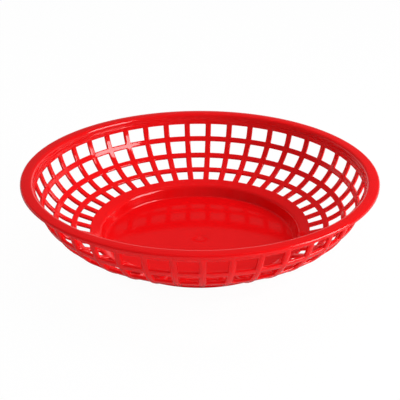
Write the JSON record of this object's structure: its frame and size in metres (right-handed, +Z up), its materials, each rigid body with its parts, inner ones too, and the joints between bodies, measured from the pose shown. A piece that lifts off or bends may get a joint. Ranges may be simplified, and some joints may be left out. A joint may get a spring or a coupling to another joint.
{
  "type": "serving basket",
  "caption": "Round, shallow serving basket moulded in one piece, with a flat floor in a low well, a wall of ribs and hoops around open gaps, and a rounded rim flange.",
  "frame": {"origin": "centre of the foot ring's underside, on the table", "axes": "+Z up along the basket's axis, +Y through the middle of an opening of each ring, and a rib faces -Y, which is the picture's front"},
  "size_m": [0.235, 0.235, 0.0529],
  "materials": {
    "plastic": "gloss"
  },
  "bodies": {
    "root": {"basket": "plastic"}
  },
  "joints": []
}
